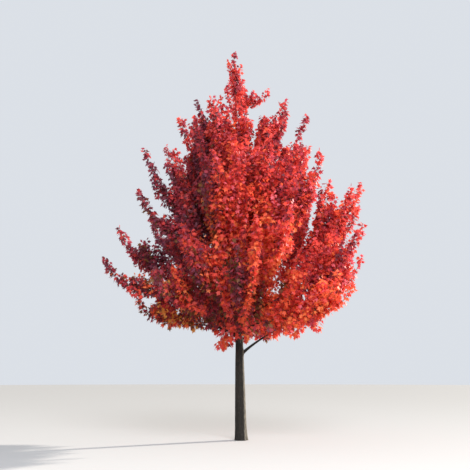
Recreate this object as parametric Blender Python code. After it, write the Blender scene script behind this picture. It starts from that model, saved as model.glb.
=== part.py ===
"""Young red maple tree in full autumn leaf, rooted in level ground.

Metres, +Z up, +X to the right of the front view, which looks along +Y. The origin is the
middle of the flat cut at ground level. A bearing is turned from +X towards +Y.

The trunk runs up through the crown. Each bough is bare where it leaves the trunk, and its
mass of foliage goes on from its end: a stem, its side shoots and the leaves on both. The
lesser limbs near the top, and the leader above the trunk, are foliage from end to end.
"""

import math
import random

import bmesh
import bpy
import numpy as np
from mathutils import Matrix, Vector

SEED = 9
GAP = 0.0003  # between pieces that touch
TREE_HEIGHT = 7.5

# Trunk: (height, radius), its lean to the left and the flare of its roots
TRUNK_TAPER = (
    (0.00, 0.103),
    (0.40, 0.098),
    (0.80, 0.091),
    (1.35, 0.079),
    (1.60, 0.070),
    (1.90, 0.061),
    (3.00, 0.047),
    (4.50, 0.030),
    (5.60, 0.017),
    (6.30, 0.010),
)
TRUNK_TOP = 6.30
TRUNK_RINGS = 17
RING_CROWDING = 1.35  # rings lie closer together towards the foot
TRUNK_SIDE_PAIRS = 6  # a curve's bevel of 16 sides
LEAN = 0.088
LEAN_HEIGHT = 5.4
SWAY = 0.010
SWAY_TURNS = 2.1  # radians a metre
FLARE = 0.020
FLARE_HEIGHT = 0.13
ROOT_RIDGES = 5
ROOT_RIDGE_DEPTH = 0.45  # of the flare

# Limbs: (bearing in degrees, reach of the foliage, height of the fork, height of the tip)
LOW_BOUGHS = (
    (8, 2.42, 1.44, 3.32),
    (334, 2.20, 1.80, 2.66),
    (268, 2.05, 1.62, 3.10),
    (222, 2.05, 1.90, 2.80),
    (172, 2.06, 1.75, 2.56),
    (116, 2.05, 1.80, 2.72),
    (64, 2.10, 1.62, 2.74),
)
WIDE_BOUGHS = (
    (183, 2.61, 2.03, 3.24),
    (166, 2.59, 2.18, 3.99),
    (244, 2.20, 2.04, 3.36),
    (292, 2.20, 2.24, 3.74),
    (347, 2.35, 1.98, 3.74),
    (22, 2.72, 2.30, 4.50),
    (92, 2.25, 2.10, 3.72),
)
MIDDLE_BOUGHS = (
    (199, 2.03, 2.74, 4.35),
    (258, 2.05, 2.66, 4.60),
    (314, 2.04, 2.44, 4.76),
    (1, 2.41, 2.52, 4.67),
    (66, 2.05, 2.72, 4.74),
    (142, 2.49, 2.60, 4.35),
)
UPPER_BOUGHS = (
    (176, 1.97, 2.90, 5.40),
    (288, 1.60, 3.06, 5.20),
    (338, 1.46, 3.02, 5.22),
    (90, 1.62, 3.12, 5.44),
)
TOP_LIMBS = (
    (232, 1.36, 3.36, 5.40),
    (36, 1.72, 3.44, 5.98),
    (150, 1.90, 3.30, 5.81),
    (168, 1.32, 3.80, 6.12),
    (5, 1.42, 3.90, 6.15),
    (232, 0.98, 4.20, 6.10),
    (86, 1.10, 4.06, 6.14),
    (206, 1.00, 4.46, 6.21),
    (336, 1.03, 4.56, 6.24),
    (18, 0.70, 6.20, 6.74),
)
# Each tier: (name, its limbs, share of each that is a bare bough, radius to the trunk's at the fork)
TIERS = (
    ("low", LOW_BOUGHS, 0.20, 0.42),
    ("wide", WIDE_BOUGHS, 0.24, 0.42),
    ("middle", MIDDLE_BOUGHS, 0.26, 0.42),
    ("upper", UPPER_BOUGHS, 0.26, 0.42),
    ("top", TOP_LIMBS, 0.0, 0.36),
)
LEADER_BENDS = ((-0.050, 0.030), (-0.170, -0.030), (-0.100, 0.005))  # x and y, at each third
LEADER_REACH = 0.36
LEADER_LEAF_SHARE = 0.66
TIP_INSET = 0.10  # of a stem's end from the reach of its foliage, and TIP_DROP below its top
TIP_DROP = 0.06
ROOM_PAST_TIP = 0.04
ROOM_INWARDS = 1.0  # a mass may rise this much above its tip for each metre nearer the axis

RISE_AT_FORK = math.radians(44)
RISE_AT_TIP = math.radians(72)
FORK_PULL = 0.34  # how far each end's slope carries, as a share of the limb's span
TIP_PULL = 0.36
BOUGH_RADIUS_MOST = 0.027
BOUGH_TIP_SHARE = 0.55  # its radius at the end, to that at the fork
COLLAR = 0.35  # swelling at the fork, as a share of the radius
COLLAR_LENGTH = 0.06
BOUGH_POINTS = 5
STEM_POINTS = 5
STEM_SAMPLES = 15
STEM_TIP_RADIUS = 0.0065
LIMB_SAMPLE_STEP = 0.04

# Side shoots leave their stem in pairs, the second turned a quarter from the first
SHOOT_FORKS = (0.10, 0.42)  # along the stem
SHOOT_LENGTH = 0.50  # of the stem's
SHOOT_SHRINK = 0.90  # of that length, lost from the stem's foot to its tip
SHOOT_LENGTH_SPREAD = 0.15
SHOOT_ANGLE = math.radians(44)
SHOOT_TURN_SPREAD = 0.35
SHOOT_LIFT = 0.30  # how much a shoot turns upwards at each step
SHOOT_STEPS = 6
SHOOT_TIP_ROOM = 0.3  # kept free ahead of a shoot, for the leaf at its tip
SHOOT_TO_STEM = 0.62  # its radius at the fork, to the stem's there
SHOOT_TIP_RADIUS = 0.0052

# Each leaf stands for a spray of them. Outline and keel are in shares of its length
LEAF_LENGTH = 0.42
LEAF_SIZES = (1.0, 0.82, 0.66)  # the largest that fits is used
LEAF_LOBE = (0.45, 0.48)
LEAF_NOTCH = (0.24, 0.62)
LEAF_KEEL_AT = 0.45
LEAF_KEEL_HEIGHT = 0.030
LEAF_STEP = 0.345  # between the pairs of leaves along a twig
LEAF_ANGLE = math.radians(48)
LEAF_TILT = 0.25
LEAF_ROOT = 0.004  # sunk in the tip of a twig
LEAF_APART = 0.035  # from any other leaf, and from a twig that isn't its own
STEM_SHORT_OF_TIP = 0.9  # of a leaf's length

LIMB_CLEARANCE = 0.030  # of leaves and shoots from the trunk and the boughs
SPACE_MARGIN = 0.012

BARK_COLOUR = (0.235, 0.205, 0.175)
SCARLET = (0.62, 0.030, 0.020)
CRIMSON = (0.40, 0.016, 0.022)
ORANGE = (0.80, 0.100, 0.018)
BARK_ROUGHNESS = 0.90
LEAF_ROUGHNESS = 0.55
SHADED_BEARINGS = (125, 238)
FRONT_BEARINGS = (238, 318)

UP = Vector((0, 0, 1))


def clear_scene():
    for item in list(bpy.data.objects):
        bpy.data.objects.remove(item)


def new_collection(name):
    made = bpy.data.collections.new(name)
    bpy.context.scene.collection.children.link(made)
    return made


def new_material(name, colour, roughness):
    made = bpy.data.materials.new(name)
    made.use_nodes = True
    surface = made.node_tree.nodes["Principled BSDF"]
    surface.inputs["Base Color"].default_value = (*colour, 1)
    surface.inputs["Roughness"].default_value = roughness
    surface.inputs["Metallic"].default_value = 0
    return made


def steps(first, last, count):
    return [first + (last - first) * k / (count - 1) for k in range(count)]


def bezier(corners):
    """The curve that leaves and meets its ends along the lines to the corners next to them."""

    def point(share):
        line = list(corners)
        while len(line) > 1:
            line = [a.lerp(b, share) for a, b in zip(line, line[1:])]
        return line[0]

    return point


def basis(heading, upper):
    """Rotation whose Y runs along heading and whose Z faces as near to upper as it can."""
    y = heading.normalized()
    x = y.cross(upper).normalized()
    return Matrix((x, y, x.cross(y))).transposed()


def trunk_centre(height):
    lean = -LEAN * min(height / LEAN_HEIGHT, 1)
    return Vector((lean, SWAY * math.sin(height * SWAY_TURNS), height))


def trunk_radius(height):
    heights, radii = zip(*TRUNK_TAPER)
    return float(np.interp(height, heights, radii))


class Limb:
    """A limb's centre line. The first share of it, bare, is a bough, and the rest is foliage."""

    def __init__(self, name, curve, bare, radius, reach, top, leaf_length=LEAF_LENGTH):
        self.name = name
        self.leaf_length = leaf_length
        self.curve = curve
        self.bare = bare
        self.radius = radius
        self.reach = reach
        self.top = top
        self.rise = 0 if name == "leader" else ROOM_INWARDS
        self.stem = [curve(share) for share in steps(bare, 1, STEM_SAMPLES)]
        self.stem_radius = self.bough_radius(1) if bare else radius

    def bough_radius(self, share):
        return self.radius * (1 - (1 - BOUGH_TIP_SHARE) * share)

    def bough_points(self, count):
        return [self.curve(share) for share in steps(0, self.bare, count)]


def side_limb(name, row, bare, radius_share):
    """A limb that leaves the trunk at a slant, flattens and turns up at its tip."""
    bearing, reach, fork, tip = row
    out = Vector((math.cos(math.radians(bearing)), math.sin(math.radians(bearing)), 0))
    start = trunk_centre(fork)
    end = out * (reach - TIP_INSET) + UP * (tip - TIP_DROP)
    span = (end - start).length
    leave = out * math.cos(RISE_AT_FORK) + UP * math.sin(RISE_AT_FORK)
    arrive = out * math.cos(RISE_AT_TIP) + UP * math.sin(RISE_AT_TIP)
    curve = bezier((start, start + leave * span * FORK_PULL, end - arrive * span * TIP_PULL, end))
    radius = min(trunk_radius(fork) * radius_share, BOUGH_RADIUS_MOST)
    return Limb(name, curve, bare, radius, reach + ROOM_PAST_TIP, tip + ROOM_PAST_TIP)


def leader_limb():
    """The leader, which carries the trunk's line on to the top of the tree."""
    heights = steps(TRUNK_TOP, TREE_HEIGHT, len(LEADER_BENDS) + 1)
    corners = [trunk_centre(TRUNK_TOP)]
    corners += [Vector((x, y, height)) for (x, y), height in zip(LEADER_BENDS, heights[1:])]
    leaf_length = LEAF_LENGTH * LEADER_LEAF_SHARE
    radius = trunk_radius(TRUNK_TOP)
    return Limb("leader", bezier(corners), 0, radius, LEADER_REACH, TREE_HEIGHT, leaf_length)


def all_limbs():
    limbs = []
    for tier, rows, bare, radius_share in TIERS:
        for number, row in enumerate(rows, 1):
            limbs.append(side_limb(f"{tier}_{number}", row, bare, radius_share))
    return limbs + [leader_limb()]


class Crown:
    """What each mass of foliage may fill: within its reach, and nearer its stem than any other."""

    def __init__(self, limbs):
        self.limbs = limbs
        self.stem_points = np.array([point for limb in limbs for point in limb.stem])
        self.owner = np.array([mass for mass, limb in enumerate(limbs) for _ in limb.stem])
        wood = []
        for height in np.arange(0, TRUNK_TOP, LIMB_SAMPLE_STEP):
            wood.append((*trunk_centre(float(height)), trunk_radius(height)))
        for limb in limbs:
            if limb.bare:
                count = round(limb.bare * limb.reach / LIMB_SAMPLE_STEP) * 2
                for point, share in zip(limb.bough_points(count), steps(0, 1, count)):
                    wood.append((*point, limb.bough_radius(share)))
        self.wood_points = np.array(wood)[:, :3]
        self.wood_radii = np.array(wood)[:, 3]

    def free(self, mass, points):
        points = np.array(points)
        limb = self.limbs[mass]
        inwards = limb.reach - np.hypot(points[:, 0], points[:, 1])
        if (inwards < 0).any() or (points[:, 2] > limb.top + inwards * limb.rise).any():
            return False
        to_stems = np.linalg.norm(points[:, None] - self.stem_points, axis=2)
        own = self.owner == mass
        if (to_stems[:, own].min(1) + SPACE_MARGIN > to_stems[:, ~own].min(1)).any():
            return False
        to_wood = np.linalg.norm(points[:, None] - self.wood_points, axis=2) - self.wood_radii
        return bool((to_wood > LIMB_CLEARANCE).all())


def side_shoots(mass, crown, draw):
    """(points, fork) of a mass's shoots, which turn up as they grow and stop where they leave it."""
    stem = crown.limbs[mass].stem
    last = len(stem) - 1
    stem_length = sum((b - a).length for a, b in zip(stem, stem[1:]))
    shoots = []
    for pair, fork in enumerate(SHOOT_FORKS):
        k = round(fork * last)
        heading = (stem[k + 1] - stem[k - 1]).normalized()
        frame = basis(heading, UP)
        for side in (0, math.pi):
            turn = side + pair * math.pi / 2 + draw.uniform(-SHOOT_TURN_SPREAD, SHOOT_TURN_SPREAD)
            across = frame @ Vector((math.cos(turn), 0, math.sin(turn)))
            going = heading * math.cos(SHOOT_ANGLE) + across * math.sin(SHOOT_ANGLE)
            length = stem_length * SHOOT_LENGTH * (1 - SHOOT_SHRINK * fork)
            length *= 1 + draw.uniform(-SHOOT_LENGTH_SPREAD, SHOOT_LENGTH_SPREAD)
            line = [stem[k]]
            for _ in range(SHOOT_STEPS):
                going = (going + UP * SHOOT_LIFT).normalized()
                step = line[-1] + going * length / SHOOT_STEPS
                if not crown.free(mass, [step]):
                    break
                line.append(step)
            while len(line) > 2:
                ahead = (line[-1] - line[-2]).normalized()
                if crown.free(mass, [line[-1] + ahead * SHOOT_TIP_ROOM]):
                    shoots.append(([line[0], line[len(line) // 2], line[-1]], k / last))
                    break
                line.pop()
    return shoots


def side_directions(twig, centre):
    """Out through each flat side of a three-sided twig, at a point of its centre line."""
    corners = [vertex.co for vertex in twig.data.vertices]
    corners.sort(key=lambda corner: (corner - centre).length)
    return [(centre - corner).normalized() for corner in corners[:3]]


def leaf_seats(line, twig):
    """(foot, heading, facing) of the leaves on a twig: its tip first, then pairs back along it."""
    ahead = (line[-1] - line[-2]).normalized()
    seats = [(line[-1] - ahead * LEAF_ROOT, ahead, ahead.cross(UP))]
    spans = [(a, b, (b - a).length) for a, b in zip(line, line[1:])]
    total = sum(length for _, _, length in spans)
    stations = np.arange(total - LEAF_STEP / 2, LEAF_STEP / 2, -LEAF_STEP)
    for number, station in enumerate(stations):
        left = float(station)
        for a, b, length in spans:
            if left <= length:
                break
            left -= length
        heading = (b - a).normalized()
        sides = side_directions(twig, b)
        for side in (sides[number % 3], sides[(number + 1) % 3]):
            going = heading * math.cos(LEAF_ANGLE) + side * math.sin(LEAF_ANGLE)
            seats.append((a.lerp(b, left / length), going, heading))
    return seats


def leaf_rim():
    """A leaf's outline from its foot round to the left, in shares of its length."""
    lobe, notch = Vector((*LEAF_LOBE, 0)), Vector((*LEAF_NOTCH, 0))
    left_lobe, left_notch = Vector((-lobe.x, lobe.y, 0)), Vector((-notch.x, notch.y, 0))
    return [Vector((0, 0, 0)), lobe, notch, Vector((0, 1, 0)), left_notch, left_lobe]


def leaf_samples(place, length):
    """Points over a leaf, to test where it lies: all but its foot."""
    rim = leaf_rim()
    heart = Vector((0, LEAF_KEEL_AT, 0))
    spots = [heart] + rim[1:]
    spots += [a.lerp(b, 0.5) for a, b in zip(rim, rim[1:] + rim[:1])]
    spots += [heart.lerp(corner, 0.5) for corner in rim[1:]]
    return [place @ (spot * length) for spot in spots]


def apart(points, others):
    if not others:
        return True
    distances = np.linalg.norm(np.array(points)[:, None] - np.array(others), axis=2)
    return bool(distances.min() > LEAF_APART)


def place_leaves(mass, lines, twigs, crown, draw):
    """(matrix, length) of a mass's leaves, clear of each other and of the twigs they aren't on."""
    seats = []
    for own, (line, twig) in enumerate(zip(lines, twigs)):
        seats += [(rank, own, seat) for rank, seat in enumerate(leaf_seats(line, twig))]
    seats.sort(key=lambda entry: entry[:2])
    twig_points = []
    for line in lines:
        twig_points.append([a.lerp(b, share) for a, b in zip(line, line[1:]) for share in steps(0, 1, 8)])
    placed = []
    taken = []
    for _, own, (foot, going, facing) in seats:
        tilt = Vector([draw.uniform(-LEAF_TILT, LEAF_TILT) for _ in range(3)])
        place = Matrix.Translation(foot) @ basis(going, facing + tilt).to_4x4()
        others = [point for k, points in enumerate(twig_points) if k != own for point in points]
        for size in LEAF_SIZES:
            length = crown.limbs[mass].leaf_length * size
            samples = leaf_samples(place, length)
            if crown.free(mass, samples) and apart(samples, others + taken):
                taken += samples
                placed.append((place, length))
                break
    return placed


def leaf_mesh():
    """A leaf of length 1 in the XY plane: three lobes, flat below, with a raised keel."""
    shape = bmesh.new()
    rim = [shape.verts.new(corner) for corner in leaf_rim()]
    foot, right, right_notch, tip, left_notch, left = rim
    keel = shape.verts.new((0, LEAF_KEEL_AT, LEAF_KEEL_HEIGHT))
    for a, b in zip(rim, rim[1:] + rim[:1]):
        shape.faces.new((a, b, keel))
    shape.faces.new((foot, left, right))
    shape.faces.new((left, left_notch, right_notch, right))
    shape.faces.new((left_notch, tip, right_notch))
    mesh = bpy.data.meshes.new("leaf")
    shape.to_mesh(mesh)
    shape.free()
    return mesh


def twig_section():
    """The section of a twig, a closed triangle of radius 1, for a curve to be bevelled with."""
    data = bpy.data.curves.new("twig_section", "CURVE")
    spline = data.splines.new("POLY")
    spline.points.add(2)
    for k, knot in enumerate(spline.points):
        turn = 2 * math.pi * k / 3
        knot.co = (math.cos(turn), math.sin(turn), 0, 1)
    spline.use_cyclic_u = True
    section = bpy.data.objects.new("twig_section", data)
    bpy.context.scene.collection.objects.link(section)
    section.hide_render = True
    return section


def tube(name, points, radii, side_pairs=0, section=None):
    """A curve with filled caps, made a mesh and welded: round, or of the section given."""
    data = bpy.data.curves.new("centre_line", "CURVE")
    data.dimensions = "3D"
    data.use_fill_caps = True
    if section:
        data.bevel_mode = "OBJECT"
        data.bevel_object = section
    else:
        data.bevel_depth = 1
        data.bevel_resolution = side_pairs
    spline = data.splines.new("POLY")
    spline.points.add(len(points) - 1)
    for knot, point, radius in zip(spline.points, points, radii):
        knot.co = (*point, 1)
        knot.radius = radius
    curve = bpy.data.objects.new("centre_line", data)
    bpy.context.scene.collection.objects.link(curve)
    made = bpy.data.objects.new(name, evaluated_mesh(curve))
    made.matrix_world = curve.matrix_world
    bpy.data.objects.remove(curve)
    shape = bmesh.new()
    shape.from_mesh(made.data)
    bmesh.ops.remove_doubles(shape, verts=shape.verts, dist=0.00001)
    bmesh.ops.recalc_face_normals(shape, faces=shape.faces)
    shape.to_mesh(made.data)
    shape.free()
    return made


def evaluated_mesh(item):
    bpy.context.view_layer.update()
    evaluated = item.evaluated_get(bpy.context.evaluated_depsgraph_get())
    return bpy.data.meshes.new_from_object(evaluated)


def dress(item, finish):
    item.data.materials.clear()
    item.data.materials.append(finish)


def smooth(mesh):
    mesh.shade_smooth()
    mesh.set_sharp_from_angle(angle=math.radians(40))


def add_boolean(item, name, operation, cutter):
    change = item.modifiers.new(name, "BOOLEAN")
    change.operation = operation
    change.object = cutter


def flared(corner):
    """Where a point of the trunk's side goes as the trunk swells towards its roots."""
    centre = trunk_centre(max(corner.z, 0))
    side = Vector((corner.x - centre.x, corner.y - centre.y, 0))
    if side.length < GAP:
        return corner.copy()
    ridge = 1 + ROOT_RIDGE_DEPTH * math.cos(ROOT_RIDGES * math.atan2(side.y, side.x))
    return corner + side.normalized() * FLARE * ridge * math.exp(-max(corner.z, 0) / FLARE_HEIGHT)


def trunk_shape(name, grow=0.0):
    """The trunk with its root flare. grow thickens it, for the cutter that clears its limbs."""
    heights = [TRUNK_TOP * share**RING_CROWDING for share in steps(0, 1, TRUNK_RINGS)]
    points = [trunk_centre(height) for height in heights]
    points[0].z -= grow
    points[-1].z += grow
    radii = [trunk_radius(height) + grow for height in heights]
    trunk = tube(name, points, radii, TRUNK_SIDE_PAIRS)
    foot = min(vertex.co.z for vertex in trunk.data.vertices)
    for vertex in trunk.data.vertices:
        at_foot = vertex.co.z < foot + TRUNK_TAPER[0][1] / 2
        vertex.co = flared(vertex.co)
        if at_foot:
            vertex.co.z = -grow
    return trunk


def bough_shape(limb, trunk_cutter):
    """A bough with a collar where it leaves the trunk, cut clear of it."""
    points = limb.bough_points(BOUGH_POINTS)
    radii = []
    for point, share in zip(points, steps(0, 1, BOUGH_POINTS)):
        from_trunk = (point - points[0]).length - trunk_radius(points[0].z)
        swell = COLLAR * min(math.exp(-from_trunk / COLLAR_LENGTH), 1)
        radii.append(limb.bough_radius(share) * (1 + swell))
    bough = tube(f"bough_{limb.name}", points, radii, 1)
    smooth(bough.data)
    add_boolean(bough, "clear_of_trunk", "DIFFERENCE", trunk_cutter)
    return bough


def mitre(stem, foot, heading, facing):
    """Slants a stem's first face, so that it lies flat against the end of what carries it."""
    for vertex in stem.data.vertices:
        if (vertex.co - foot).length < BOUGH_RADIUS_MOST:
            vertex.co += heading * (foot - vertex.co).dot(facing) / heading.dot(facing)


def keep_largest(mesh):
    """Drops loose scraps, and the inner wall of any hollow that the union sealed."""
    shape = bmesh.new()
    shape.from_mesh(mesh)
    left = set(shape.verts)
    islands = []
    while left:
        island = {left.pop()}
        edge = island
        while edge:
            edge = {link.other_vert(vertex) for vertex in edge for link in vertex.link_edges} - island
            island = island | edge
        left -= island
        islands.append(island)
    islands.sort(key=len)
    for island in islands[:-1]:
        bmesh.ops.delete(shape, geom=list(island), context="VERTS")
    shape.to_mesh(mesh)
    shape.free()


def fuse(stem, twigs, leaves, leaf):
    """Joins a mass's twigs and leaves to its stem as one solid."""
    loose = new_collection("loose")
    for twig in twigs:
        loose.objects.link(twig)
    for place, length in leaves:
        blade = bpy.data.objects.new("leaf", leaf)
        blade.matrix_world = place @ Matrix.Scale(length, 4)
        loose.objects.link(blade)
    union = stem.modifiers.new("fuse", "BOOLEAN")
    union.operation = "UNION"
    union.operand_type = "COLLECTION"
    union.collection = loose
    fused = evaluated_mesh(stem)
    stem.modifiers.clear()
    stem.data = fused
    keep_largest(fused)
    for item in list(loose.objects):
        bpy.data.objects.remove(item)
    bpy.data.collections.remove(loose)


def foliage_shape(mass, crown, section, leaf, trunk_cutter, tree):
    """One mass of foliage: its stem goes on from its bough, or from the trunk."""
    limb = crown.limbs[mass]
    draw = random.Random(SEED * 100 + mass)
    stride = (STEM_SAMPLES - 1) / (STEM_POINTS - 1)
    line = [limb.stem[round(k * stride)] for k in range(STEM_POINTS)]
    line[-1] = line[-1] - (limb.stem[-1] - limb.stem[-2]).normalized() * limb.leaf_length * STEM_SHORT_OF_TIP
    radii = steps(limb.stem_radius, STEM_TIP_RADIUS, STEM_POINTS)
    stem = tube(f"foliage_{limb.name}", line, radii, section=section)
    tree.objects.link(stem)

    lines = [line]
    twigs = []
    for shoot, fork in side_shoots(mass, crown, draw):
        fork_radius = (limb.stem_radius + (STEM_TIP_RADIUS - limb.stem_radius) * fork) * SHOOT_TO_STEM
        lines.append(shoot)
        twigs.append(tube("twig", shoot, steps(fork_radius, SHOOT_TIP_RADIUS, len(shoot)), section=section))
    leaves = place_leaves(mass, lines, [stem] + twigs, crown, draw)
    fuse(stem, twigs, leaves, leaf)

    if limb.name == "leader":
        mitre(stem, line[0] + UP * GAP, line[1] - line[0], UP)
    elif limb.bare:
        before, end = limb.bough_points(BOUGH_POINTS)[-2:]
        facing = (end - before).normalized()
        mitre(stem, line[0] + facing * GAP, line[1] - line[0], facing)
    else:
        add_boolean(stem, "clear_of_trunk", "DIFFERENCE", trunk_cutter)
    print(f"{stem.name}: {len(twigs)} shoots, {len(leaves)} leaves")
    return stem


def leaf_tint(limb, tints):
    """Crimson on the shaded left, orange at the front below the top, scarlet elsewhere."""
    tip = limb.stem[-1]
    bearing = math.degrees(math.atan2(tip.y, tip.x)) % 360
    if SHADED_BEARINGS[0] < bearing < SHADED_BEARINGS[1] and limb.name != "leader":
        return tints["crimson"]
    if FRONT_BEARINGS[0] < bearing < FRONT_BEARINGS[1] and limb.bare:
        return tints["orange"]
    return tints["scarlet"]


def build():
    clear_scene()
    tree = new_collection("red_maple_tree")
    cutters = new_collection("cutters")
    bark = new_material("bark", BARK_COLOUR, BARK_ROUGHNESS)
    tints = {
        "scarlet": new_material("scarlet_leaves", SCARLET, LEAF_ROUGHNESS),
        "crimson": new_material("crimson_leaves", CRIMSON, LEAF_ROUGHNESS),
        "orange": new_material("orange_leaves", ORANGE, LEAF_ROUGHNESS),
    }

    trunk = trunk_shape("trunk")
    smooth(trunk.data)
    dress(trunk, bark)
    tree.objects.link(trunk)
    trunk_cutter = trunk_shape("trunk_clearance", GAP)
    trunk_cutter.hide_render = True
    trunk_cutter.display_type = "WIRE"
    cutters.objects.link(trunk_cutter)

    crown = Crown(all_limbs())
    for limb in crown.limbs:
        if limb.bare:
            bough = bough_shape(limb, trunk_cutter)
            dress(bough, bark)
            tree.objects.link(bough)

    section = twig_section()
    leaf = leaf_mesh()
    for mass, limb in enumerate(crown.limbs):
        foliage = foliage_shape(mass, crown, section, leaf, trunk_cutter, tree)
        dress(foliage, leaf_tint(limb, tints))
    bpy.data.objects.remove(section)


build()
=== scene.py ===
import math
import random

import bmesh
import bpy
import numpy as np
from mathutils import Matrix, Vector, noise


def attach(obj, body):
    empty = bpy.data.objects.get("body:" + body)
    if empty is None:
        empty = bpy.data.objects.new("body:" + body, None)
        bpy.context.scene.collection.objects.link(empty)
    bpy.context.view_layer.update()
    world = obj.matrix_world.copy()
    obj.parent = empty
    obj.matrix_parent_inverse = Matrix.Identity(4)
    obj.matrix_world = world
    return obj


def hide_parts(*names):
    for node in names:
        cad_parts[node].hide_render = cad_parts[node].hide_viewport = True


# Young red maple in full autumn leaf, rooted in level ground. Metres, ground at z = 0.
# The front view looks along +Y, and a bearing turns from +X towards +Y.

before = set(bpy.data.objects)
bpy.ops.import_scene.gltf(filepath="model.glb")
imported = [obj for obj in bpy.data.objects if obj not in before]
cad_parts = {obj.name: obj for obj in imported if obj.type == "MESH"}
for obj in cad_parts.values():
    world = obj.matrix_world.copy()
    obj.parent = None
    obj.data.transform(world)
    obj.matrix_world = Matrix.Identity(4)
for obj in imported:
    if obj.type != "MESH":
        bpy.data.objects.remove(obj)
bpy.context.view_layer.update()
print("frame loaded:", len(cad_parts), "solids")

up = Vector((0, 0, 1))


def steps(first, last, count):
    return [first + (last - first) * k / (count - 1) for k in range(count)]


def vary(draw, spread):
    # a random factor round 1
    return 1 + draw.uniform(-spread, spread)


def bezier(corners):
    def point(share):
        line = list(corners)
        while len(line) > 1:
            line = [a.lerp(b, share) for a, b in zip(line, line[1:])]
        return line[0]

    return point


def basis(heading, upper):
    # a turn whose Y runs along heading and whose Z faces as near to upper as it can
    y = heading.normalized()
    x = y.cross(upper).normalized()
    return Matrix((x, y, x.cross(y))).transposed()


# materials


def linearColour(hexValue):
    parts = [int(hexValue[k:k + 2], 16) / 255 for k in (1, 3, 5)]
    return (*[c / 12.92 if c <= 0.04045 else ((c + 0.055) / 1.055) ** 2.4 for c in parts], 1)


def addNode(tree, kind, settings=(), links=()):
    node = tree.nodes.new(kind)
    for name, value in dict(settings).items():
        if isinstance(name, int) or name in node.inputs.keys():
            node.inputs[name].default_value = value
        else:
            setattr(node, name, value)
    for name, source in dict(links).items():
        tree.links.new(source, node.inputs[name])
    return node


def newMaterial(name):
    made = bpy.data.materials.new(name)
    made.use_nodes = True
    made.node_tree.nodes.clear()
    return made, made.node_tree


barkLook = {
    "ridge": "#241F18",
    "furrow": "#110F0B",
    "lichen": "#36322A",
    # the paler colour painted on the sun's side, as sunlight on the ridges
    "paintedSunlit": "#7E7768",
    "paintedSunSide": (math.radians(-48), math.radians(80)),
    "ridgeWidth": 0.011,  # flat ridges about 11 mm wide and 90 mm long
    "ridgeLength": 0.09,
    "ridgeEdge": (0.36, 0.60),  # noise at the foot of a furrow and at the flat of a ridge
    "lichenPatch": 0.07,  # blotches about 70 mm across
    "lichenEdge": (0.54, 0.66),
    "lichenCover": 0.6,
    "paintedSunEdge": (0.30, 0.72),  # how far a face turns to the sun, where the painted sunlight begins and where it is full
    "paintedSunMost": 0.85,
    "bump": (0.5, 0.002),  # strength, and the height of a ridge
    "roughness": 0.75,
}


def paintedSunWay():
    # halfway round the side that the sun lights, whose light is painted into the bark as a paler
    # colour
    first, last = barkLook["paintedSunSide"]
    return (math.cos((first + last) / 2), math.sin((first + last) / 2), 0)


def barkMaterial():
    # dark grey-brown living bark, dull and dry: flat ridges with darker furrows between them,
    # some lichen on top, and painted sunlight: the ridges on the side facing the sun are paler
    look = barkLook
    made, tree = newMaterial("youngMapleBark")
    place = addNode(tree, "ShaderNodeTexCoord")
    stretch = look["ridgeWidth"] / look["ridgeLength"]
    along = addNode(
        tree, "ShaderNodeMapping",
        {"Scale": (1, 1, stretch)},
        {"Vector": place.outputs["Object"]},
    )
    ridges = addNode(
        tree, "ShaderNodeTexNoise",
        {"Scale": 1 / look["ridgeWidth"], "Detail": 4, "Roughness": 0.6},
        {"Vector": along.outputs["Vector"]},
    )
    depth = addNode(
        tree, "ShaderNodeMapRange",
        {"From Min": look["ridgeEdge"][0], "From Max": look["ridgeEdge"][1]},
        {"Value": ridges.outputs["Fac"]},
    )
    wood = addNode(
        tree, "ShaderNodeMix",
        {"data_type": "RGBA", 6: linearColour(look["furrow"]), 7: linearColour(look["ridge"])},
        {0: depth.outputs["Result"]},
    )
    patches = addNode(
        tree, "ShaderNodeTexNoise",
        {"Scale": 1 / look["lichenPatch"], "Detail": 5, "Roughness": 0.65},
        {"Vector": place.outputs["Object"]},
    )
    cover = addNode(
        tree, "ShaderNodeMapRange",
        {"From Min": look["lichenEdge"][0], "From Max": look["lichenEdge"][1],
         "To Max": look["lichenCover"]},
        {"Value": patches.outputs["Fac"]},
    )
    colour = addNode(
        tree, "ShaderNodeMix",
        {"data_type": "RGBA", 7: linearColour(look["lichen"])},
        {0: cover.outputs["Result"], 6: wood.outputs[2]},
    )
    # painted sunlight: the more a face turns to the sun, the paler its ridges
    sun = addNode(tree, "ShaderNodeVectorMath", {"operation": "DOT_PRODUCT", 1: paintedSunWay()})
    tree.links.new(addNode(tree, "ShaderNodeNewGeometry").outputs["Normal"], sun.inputs[0])
    paintedSunShare = addNode(
        tree, "ShaderNodeMapRange",
        {"From Min": look["paintedSunEdge"][0], "From Max": look["paintedSunEdge"][1],
         "To Max": look["paintedSunMost"]},
        {"Value": sun.outputs["Value"]},
    )
    paintedSunMask = addNode(
        tree, "ShaderNodeMath",
        {"operation": "MULTIPLY"},
        {0: paintedSunShare.outputs["Result"], 1: depth.outputs["Result"]},
    )
    colour = addNode(
        tree, "ShaderNodeMix",
        {"data_type": "RGBA", 7: linearColour(look["paintedSunlit"])},
        {0: paintedSunMask.outputs["Value"], 6: colour.outputs[2]},
    )
    bump = addNode(
        tree, "ShaderNodeBump",
        {"Strength": look["bump"][0], "Distance": look["bump"][1]},
        {"Height": ridges.outputs["Fac"]},
    )
    surface = addNode(
        tree, "ShaderNodeBsdfPrincipled",
        {"Roughness": look["roughness"], "IOR": 1.5, "Specular IOR Level": 0.3},
        {"Base Color": colour.outputs[2], "Normal": bump.outputs["Normal"]},
    )
    addNode(tree, "ShaderNodeOutputMaterial", {}, {"Surface": surface.outputs["BSDF"]})
    return made


twigLook = {"old": "#5B4A40", "young": "#6A3A32", "patch": 0.10, "roughness": 0.7}


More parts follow.
